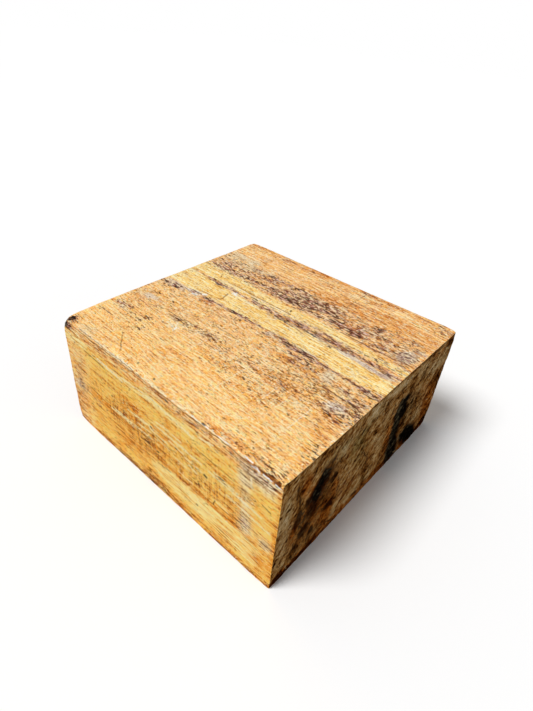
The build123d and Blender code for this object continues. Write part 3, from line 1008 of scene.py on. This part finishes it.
def ground(finish, wood):
    """Golden and pinkish heartwood and yellow sapwood, light or dark by the fibre's level."""
    yellow = finish.layers(0, (wood.streak, 9), (wood.dash, 6))
    wood.yellow = finish.step(finish.plus(finish.mark("sap"), yellow), -1.2, 1.2)
    drawing = finish.marked(finish.step(wood.yellow, 0, 1, 1.0, 1.5), "combed", 1.4)
    breaking = finish.marked(finish.step(wood.yellow, 0, 1, 1.0, 0.85), "combed", -0.2)
    drawn = finish.times(finish.layers(0.0, (wood.streak, 0.6), (wood.thread, 1.2)), drawing)
    broken = finish.times(finish.layers(0.0, (wood.short, 1.1), (wood.fine, 1.6)), breaking)
    level = finish.plus(finish.layers(0.59, (wood.broad, 0.5)), finish.plus(drawn, broken))
    level = finish.marked(finish.marked(level, "golden", 0.25), "shade", 0.2)
    level = finish.math("MULTIPLY_ADD", wood.sawn, -0.6, level)
    wood.level = level
    golden = finish.ramp(
        level, (146, 74, 14), (226, 146, 62), (253, 186, 93), (255, 204, 119), (255, 232, 160)
    )
    pinkish = finish.ramp(
        level, (154, 88, 54), (228, 161, 105), (251, 193, 133), (252, 209, 153), (255, 236, 196)
    )
    sapwood = finish.ramp(
        level, (172, 100, 24), (236, 174, 78), (254, 210, 121), (255, 228, 150), (255, 248, 206)
    )
    heartwood = finish.mix(finish.step(wood.hue, 0.36, 0.64), golden, pinkish)
    return finish.mix(wood.yellow, heartwood, sapwood)


def weathered(finish, wood, colour):
    """Orange heartwood, and grey or lilac weathering, laid over the ground in patches."""
    red = finish.step(finish.marked(wood.patch, "red", 0.5), 0.50, 0.92, 0, 0.85)
    orange = finish.ramp(wood.level, (100, 38, 2), (186, 92, 14), (232, 142, 44), (250, 184, 90))
    colour = finish.mix(red, colour, orange)
    grey = finish.step(finish.marked(wood.patch, "grey", 0.5), 0.58, 0.96, 0, 0.88)
    warm = finish.ramp(wood.level, (116, 88, 60), (190, 158, 118), (226, 197, 154), (250, 236, 206))
    lilac = finish.ramp(wood.level, (88, 66, 64), (164, 138, 130), (208, 188, 178), (244, 234, 224))
    return finish.mix(grey, colour, finish.mix(finish.mark("lilac"), warm, lilac))


def frayed(finish, wood, colour):
    """Short fibres: ochre where open, pale where torn or rubbed; the arris's pale line is partly
    painted highlight.
    """
    ochre = finish.layers(0, (wood.dash, 0.7), (wood.short, 0.9), (wood.clump, 0.22))
    wood.ochre = finish.step(finish.marked(ochre, "speck", 0.13), 0.135, 0.245)
    open_fibre = finish.ramp(wood.hue, (116, 50, 4), (160, 86, 22), (182, 116, 66))
    colour = finish.mix(finish.times(wood.ochre, 0.75), colour, open_fibre)
    torn = finish.layers(0.5, (wood.tear, 1.0), (wood.clump, -0.12))
    wood.torn = finish.step(finish.marked(torn, "pale", 0.12), 0.58, 0.68)
    colour = finish.mix(finish.times(wood.torn, 0.75), colour, tone(255, 236, 190))
    rubbed = finish.strokes(wood.shaken, PALE_SCRATCHES_AND_ARRIS_HIGHLIGHT, 0.6)
    rubbed = finish.times(rubbed, finish.step(wood.flake, 0.28, 0.48))
    rubbed = finish.times(rubbed, finish.step(finish.mark("golden"), 0.2, 0.5, 0.65, 1.0))
    scuffs = finish.step(finish.marked(wood.flake, "pale", 0.15), 0.68, 0.74)
    wood.rubbed = finish.highest(scuffs, rubbed)
    bare = finish.ramp(wood.patch, (255, 248, 222), (255, 246, 222), (232, 220, 216))
    return finish.mix(finish.times(wood.rubbed, 0.95), colour, bare)


def stained(finish, wood, colour):
    """Stain in dashes and streaks.

    It is blackish purple at its core, lilac grey where it thins and faded round about; the
    pale flecks next to it are painted highlight.
    """
    seam = finish.layers(0.1, (wood.streak, 4.0), (wood.dash, 6.5), (wood.short, 4.5))
    seam = finish.plus(finish.mark("streak"), seam)
    thin = finish.times(finish.step(seam, -1.6, 0.2), finish.step(wood.patch, 0.44, 0.62))
    lilac = finish.ramp(wood.level, (110, 84, 86), (178, 150, 146), (222, 202, 190))
    colour = finish.mix(finish.times(thin, 0.7), colour, lilac)
    faded = finish.step(finish.marked(wood.hue, "stain", 0.5), 0.70, 1.05, 0, 0.5)
    brown = finish.ramp(wood.level, (110, 60, 44), (184, 126, 92), (226, 176, 134), (252, 220, 182))
    colour = finish.mix(faded, colour, brown)

    stain = finish.marked(finish.layers(0.5, (wood.dash, 1.8), (wood.short, 1.1)), "stain", 0.34)
    stain = finish.step(stain, 0.73, 0.79)
    stain = finish.times(stain, finish.step(finish.mark("stain"), 0.04, 0.2))
    wood.stain = finish.highest(stain, finish.step(seam, 0.0, 0.8))
    mottle = finish.layers(0.41, (wood.core, 3.8), (wood.hue, 1.2))
    wood.mottle = finish.math("MULTIPLY_ADD", finish.step(seam, 0.6, 2.4), -0.12, mottle)
    dark = finish.ramp(
        wood.mottle, (30, 6, 12), (84, 34, 30), (138, 74, 52), (184, 128, 104), (230, 202, 194)
    )
    colour = finish.mix(finish.times(wood.stain, 0.92), colour, dark)
    # Painted highlight: pale flecks next to the stain, where the halo noise rises.
    painted_halo = finish.step(finish.mark("stain"), 0.1, 0.5)
    painted_halo = finish.times(painted_halo, finish.step(wood.lifted, 0.55, 0.60))
    pale = finish.ramp(wood.hue, (236, 200, 150), (255, 228, 184), (242, 222, 208))
    return finish.mix(finish.times(painted_halo, 0.9), colour, pale)


def sooted(finish, wood, colour):
    """Soot-black dirt, its edge broken along the fibre, over the stain."""
    edge_noise = finish.layers(-0.25, (wood.dash, 0.9), (wood.short, 0.9))
    soot = finish.step(finish.plus(finish.mark("soot"), edge_noise), 0.35, 0.55)
    black = finish.ramp(wood.mottle, (4, 4, 4), (20, 18, 14), (84, 70, 50))
    return finish.mix(finish.times(soot, 0.92), colour, black)


def gilded(finish, wood, colour):
    """The colour times a golden filter where the wood kept its colour, and less on bare fibre."""
    kept = finish.times(finish.mark("golden"), finish.math("MULTIPLY_ADD", wood.yellow, -0.3, 1.0))
    kept = finish.times(kept, finish.step(wood.rubbed, 0, 1, 1.0, 0.75))
    return finish.mix(kept, colour, GOLDEN_FILTER, blend="MULTIPLY")


def scratched(finish, wood, colour):
    """White chips, open pores, dark scratches with painted arris shadow, and deep spots over the
    rest.
    """
    chips = finish.strokes(wood.shaken, WHITE_CHIPS, 0.5)
    chips = finish.times(chips, finish.step(wood.short, 0.2, 0.4))
    colour = finish.mix(chips, colour, tone(250, 244, 234))
    pores = finish.layers(0.5, (wood.grit, 1.0), (wood.clump, 0.2))
    pores = finish.step(finish.marked(pores, "speck", 0.15), 0.665, 0.725)
    cuts = finish.strokes(wood.shaken, DARK_SCRATCHES_AND_ARRIS_SHADOW, 0.6)
    cuts = finish.times(cuts, finish.step(wood.short, 0.25, 0.5, 0.5, 1.0))
    wood.opened = finish.highest(pores, cuts)
    opened = finish.ramp(wood.hue, (84, 28, 0), (120, 58, 10), (134, 80, 44))
    colour = finish.mix(finish.times(wood.opened, 0.85), colour, opened)
    wood.holes = finish.strokes(wood.shaken, DARK_SPOTS, 0.8)
    deep = finish.ramp(wood.short, (34, 18, 12), (104, 66, 46))
    return finish.mix(finish.times(wood.holes, 0.9), colour, deep)


def long_grain():
    """The long-grain material: the steps above in turn, and fibre, cuts and holes in relief."""
    finish = Finish("long_grain")
    wood = fibre(finish)
    wood.shaken = finish.shaken((3, 3, 3), 9, (2.6, 2.6, 2.6))
    colour = ground(finish, wood)
    for laid_over in (weathered, frayed, stained, sooted, gilded, scratched):
        colour = laid_over(finish, wood, colour)
    height = finish.layers(
        0.5, (wood.streak, 0.4), (wood.thread, 0.5), (wood.short, 0.4), (wood.fine, 0.3),
        (wood.torn, 0.3), (wood.ochre, -0.4),
    )
    height = finish.math("MULTIPLY_ADD", wood.sawn, -0.3, height)
    height = finish.less(height, finish.times(finish.highest(wood.stain, wood.opened), 0.4))
    height = finish.less(height, finish.times(wood.holes, 1.2))
    return finish.completed(colour, height, relief=0.8, roughness=0.85, specular=0.12)


# ------------------------------------------------------------------------------------------
# Finish of the ends: torn end grain, brown and dirty, in slanting tufts of short fibre. The
# right end has cracks, burnt-looking pits and rot, painted shade in its torn hollows and a
# painted shadow line under its top arris; the left end shows growth rings.
# ------------------------------------------------------------------------------------------
END_CRACKS_AND_ARRIS_SHADOW = on_face(0, LENGTH, [
    (21, 120, 22, 98, 0.8), (27, 101, 29, 78, 0.8), (36, 90, 44, 80, 1.6),
    (27, 72, 27, 58, 1.5), (30, 62, 36, 54, 0.8), (16, 64, 17, 52, 0.6),
    (46, 68, 50, 62, 1.3), (53, 68, 54, 62, 1.2), (39, 48, 42, 36, 2.0),
    (31, 33, 33, 27, 1.4), (27, 40, 28, 14, 0.7), (54, 35, 56, 26, 1.8),
    (71, 46, 76, 41, 1.7), (81, 43, 85, 39, 1.8), (66, 20, 74, 18, 0.7), (78, 16, 92, 8, 1.1),
    (128, 13, 138, 8, 1.6), (148, 10, 156, 4, 1.0), (75, 84, 80, 88, 2.0),
    (82, 106, 83, 98, 0.8), (108, 110, 117, 114, 0.9), (121, 111, 126, 108, 1.0),
    (128, 76, 134, 66, 0.8), (182, 119, 188, 123, 1.2), (174, 107, 174, 96, 1.2),
    (203, 112, 208, 110, 1.5), (231, 83, 234, 86, 1.4), (234, 90, 236, 93, 1.0),
    (231, 62, 239, 65, 1.0), (236, 49, 239, 44, 0.9), (152, 31, 162, 31, 0.9),
    (178, 64, 178, 58, 0.9), (217, 135, 262, 134, 0.8), (254, 129, 260, 127, 1.2),
    (282, 133, 288, 125, 1.2), (190, 102, 196, 99, 1.2), (207, 92, 214, 90, 1.4),
    (206, 74, 209, 64, 1.2), (212, 56, 216, 54, 1.2), (30, 12, 44, 4, 1.2),
    # (6, 136.8) and (150, 137.4) lie just under the top arris: a painted shadow line
    (4, 8, 24, 4, 1.0), (60, 112, 64, 118, 0.9), (6, 136.8, 150, 137.4, 0.5),
    (150, 137.4, 290, 136.6, 0.6), (62, 100, 72, 116, 1.0), (66, 92, 76, 104, 0.9),
    (58, 84, 66, 96, 0.8), (36, 62, 48, 76, 1.0),
])
BRIGHT_FIBRES = on_face(0, LENGTH, [
    (271, 55, 276, 53, 0.6), (285, 58, 289, 55, 0.6), (277, 126, 291, 118, 0.7),
    (21, 12, 23, 6, 0.5), (219, 6, 226, 3, 1.4), (131, 132, 133, 126, 0.6),
])
PITH = (0, 105, -140)  # where the growth rings centre, along, across and up
RINGS_PER_MM = 0.16


def torn_fibre(finish):
    """Noises drawn up the slant of the torn tufts, and fibre lightness with painted shade in
    hollows.
    """
    slant = finish.node("Mapping", 0, {"Vector": finish.place, "Rotation": (-TEAR_LEAN, 0, 0)})
    # each noise: lengths of its cell, seed, detail and roughness
    cells = {
        "tongue": ((60, 26, 6), 50, 2, 0.5),
        "tuft": ((60, 15, 2.8), 51, 2, 0.6),
        "crumb": ((30, 6.0, 1.8), 52, 2, 0.6),
        "drift": ((60, 16, 8), 54, 3, 0.6),
        "grit": ((20, 3.2, 1.4), 55, 1, 0.5),
    }
    wood = SimpleNamespace(**{name: finish.noise(*cell, slant) for name, cell in cells.items()})
    broad = finish.noise((30, 20, 14), 53, 2, 0.5)
    level = finish.layers(
        0.0, (wood.tongue, 0.6), (wood.tuft, 1.0), (wood.crumb, 1.3), (wood.grit, 1.6),
        (broad, 0.7),
    )
    level = finish.math("MULTIPLY_ADD", level, finish.mark("rough"), 0.60)
    in_rings = (0, RINGS_PER_MM, RINGS_PER_MM)
    from_pith = finish.vector("MULTIPLY", finish.vector("SUBTRACT", finish.place, PITH), in_rings)
    ring = {"W": finish.vector("LENGTH", from_pith, output="Value"), "Scale": 1.0, "Detail": 2.0}
    rings = finish.layers(0.0, (finish.node("TexNoise", 0, ring, noise_dimensions="1D"), 1.0))
    level = finish.math("MULTIPLY_ADD", rings, finish.mark("rings"), level)
    # Painted shade: the colour darkens where the torn depth sinks the right end's hollows.
    wood.level = finish.marked(finish.marked(level, "gloom", -0.4), "torn", -0.35)
    return wood


def zoned(finish, wood):
    """Brown end grain with khaki, olive and rusty zones, each mark's edge broken by drift."""
    brown = [(16, 4, 0), (94, 48, 12), (158, 106, 48), (190, 142, 82), (226, 190, 134)]
    khaki = [(50, 26, 6), (134, 98, 50), (184, 148, 96), (210, 178, 126), (238, 216, 174)]
    olive = [(24, 18, 4), (90, 70, 30), (142, 118, 62), (176, 154, 98)]
    rusty = [(34, 4, 0), (116, 48, 2), (182, 100, 24), (214, 140, 58)]
    colour = finish.ramp(wood.level, *brown)
    # each zone's mark, where it starts, where it is full, how strong it gets, and its tones
    for name, starts, full, strength, tones in (
        ("khaki", 0.55, 1.0, 0.9, khaki),
        ("olive", 0.6, 1.05, 0.8, olive),
        ("rusty", 0.55, 1.0, 0.85, rusty),
    ):
        share = finish.step(finish.marked(wood.drift, name, 0.5), starts, full, 0, strength)
        colour = finish.mix(share, colour, finish.ramp(wood.level, *tones))
    return colour


def rotted(finish, wood, colour):
    """Cracks, painted arris shadow, burnt-looking pits, black pockets in a brown rim, bright
    fibres.
    """
    shaken = finish.shaken((5, 5, 5), 9, (0, 3, 3))
    pits = finish.layers(0, (wood.crumb, 2.6), (wood.tuft, 1.4), (wood.grit, 2.0))
    pits = finish.step(finish.plus(finish.mark("burnt"), pits), 0.56, 0.70)
    cracks = finish.strokes(shaken, END_CRACKS_AND_ARRIS_SHADOW, 1.0)
    cracks = finish.times(cracks, finish.step(wood.crumb, 0.3, 0.5, 0.5, 1.0))
    burnt = finish.ramp(wood.crumb, (6, 0, 2), (30, 8, 4), (70, 36, 20))
    colour = finish.mix(finish.times(finish.highest(pits, cracks), 0.9), colour, burnt)
    ragged = finish.layers(2.4, (wood.tuft, 8), (wood.crumb, 9), (wood.grit, 6))
    ragged = finish.plus(finish.mark("rot"), ragged)
    rim = finish.ramp(wood.level, (10, 2, 0), (48, 22, 10), (84, 50, 28), (120, 84, 54))
    colour = finish.mix(finish.times(finish.step(ragged, -6.0, 0.0), 0.7), colour, rim)
    black = finish.ramp(wood.level, (2, 1, 1), (8, 6, 4), (20, 17, 12), (46, 40, 30), (96, 86, 62))
    colour = finish.mix(finish.times(finish.step(ragged, -1.0, 1.2), 0.97), colour, black)
    bright = finish.ramp(wood.level, (120, 96, 60), (206, 180, 130), (240, 220, 180))
    standing = finish.strokes(shaken, BRIGHT_FIBRES, 0.8)
    return finish.mix(finish.times(standing, 0.6), colour, bright)


def end_grain():
    """The end-grain material: the steps above in turn, with the same level in relief."""
    finish = Finish("end_grain")
    wood = torn_fibre(finish)
    colour = rotted(finish, wood, zoned(finish, wood))
    return finish.completed(colour, wood.level, relief=0.8, roughness=1.0, specular=0.0)


# The marks and the places go onto the mesh, and each face takes the finish of its grain.
mesh = block.data
for name, values in marks.items():
    attribute = mesh.attributes.new(name, "FLOAT", "POINT")
    attribute.data.foreach_set("value", values.astype(np.float32))
timber = mesh.attributes.new("timber", "FLOAT_VECTOR", "POINT")
timber.data.foreach_set("vector", worn_place.astype(np.float32).ravel())
mesh.materials.append(long_grain())
mesh.materials.append(end_grain())
mesh.polygons.foreach_set("material_index", (quad_axis == 0).astype(np.int32))

# ------------------------------------------------------------------------------------------
# The stage: a pale floor that keeps the block's shadow, a broad soft key and a plain sky.
# The block lies loose on the floor, and the camera looks down on its front right corner.
# ------------------------------------------------------------------------------------------
FLOOR_REACH = 6.0  # metres each way
FLOOR_TONE = 0.55
WHITE = 1.0
bpy.ops.mesh.primitive_plane_add(size=2 * FLOOR_REACH, location=(0, 0, cad_box[0].z))
floor = bpy.context.object
floor.name = "floor"


def seen_brighter(tree, plain, seen):
    """A value that is plain for light on its way and brighter where the camera or gloss sees it."""
    path = tree.nodes.new("ShaderNodeLightPath")
    either = tree.nodes.new("ShaderNodeMath")
    either.operation = "MAXIMUM"
    tree.links.new(path.outputs["Is Camera Ray"], either.inputs[0])
    tree.links.new(path.outputs["Is Glossy Ray"], either.inputs[1])
    choice = tree.nodes.new("ShaderNodeMapRange")
    choice.inputs["To Min"].default_value = plain
    choice.inputs["To Max"].default_value = seen
    tree.links.new(either.outputs[0], choice.inputs["Value"])
    return choice.outputs[0]


paint = bpy.data.materials.new("pale_floor")
paint.use_nodes = True
floor_shader = paint.node_tree.nodes["Principled BSDF"]
floor_shader.inputs["Roughness"].default_value = 1.0
floor_shader.inputs["Specular IOR Level"].default_value = 0.0
paint.node_tree.links.new(
    seen_brighter(paint.node_tree, FLOOR_TONE, WHITE), floor_shader.inputs["Base Color"]
)
floor.data.materials.append(paint)

SKY = 0.3
world = bpy.data.worlds.new("plain_sky")
world.use_nodes = True
bpy.context.scene.world = world
background = world.node_tree.nodes["Background"]
background.inputs["Color"].default_value = (1, 1, 1, 1)
world.node_tree.links.new(
    seen_brighter(world.node_tree, SKY, WHITE), background.inputs["Strength"]
)

KEY_STRENGTH = 2.68
KEY_SPREAD = radians(25)
KEY_TURN = (radians(34), 0, radians(-26))
key = bpy.data.objects.new("key", bpy.data.lights.new("key", "SUN"))
key.data.energy = KEY_STRENGTH
key.data.angle = KEY_SPREAD
key.rotation_euler = KEY_TURN
bpy.context.scene.collection.objects.link(key)

# The camera stands a little over half a metre off. Its angles are in degrees.
CAMERA_PLACE = (261.9, -331.8, 407.7)
CAMERA_HEADING = 127.68  # from +X towards +Y
CAMERA_DOWN = 36.20
CAMERA_ROLL = 5.88
camera = bpy.data.objects.new("camera", bpy.data.cameras.new("camera"))
camera.data.sensor_width = 36.0
camera.data.lens = 24.0
camera.data.clip_start = 0.01
turn = (
    Matrix.Rotation(radians(CAMERA_HEADING - 90), 4, "Z")
    @ Matrix.Rotation(radians(90 - CAMERA_DOWN), 4, "X")
    @ Matrix.Rotation(radians(CAMERA_ROLL), 4, "Z")
)
camera.matrix_world = Matrix.Translation([MM * part for part in CAMERA_PLACE]) @ turn
bpy.context.scene.collection.objects.link(camera)
bpy.context.scene.camera = camera
bpy.context.scene.view_settings.view_transform = "Standard"
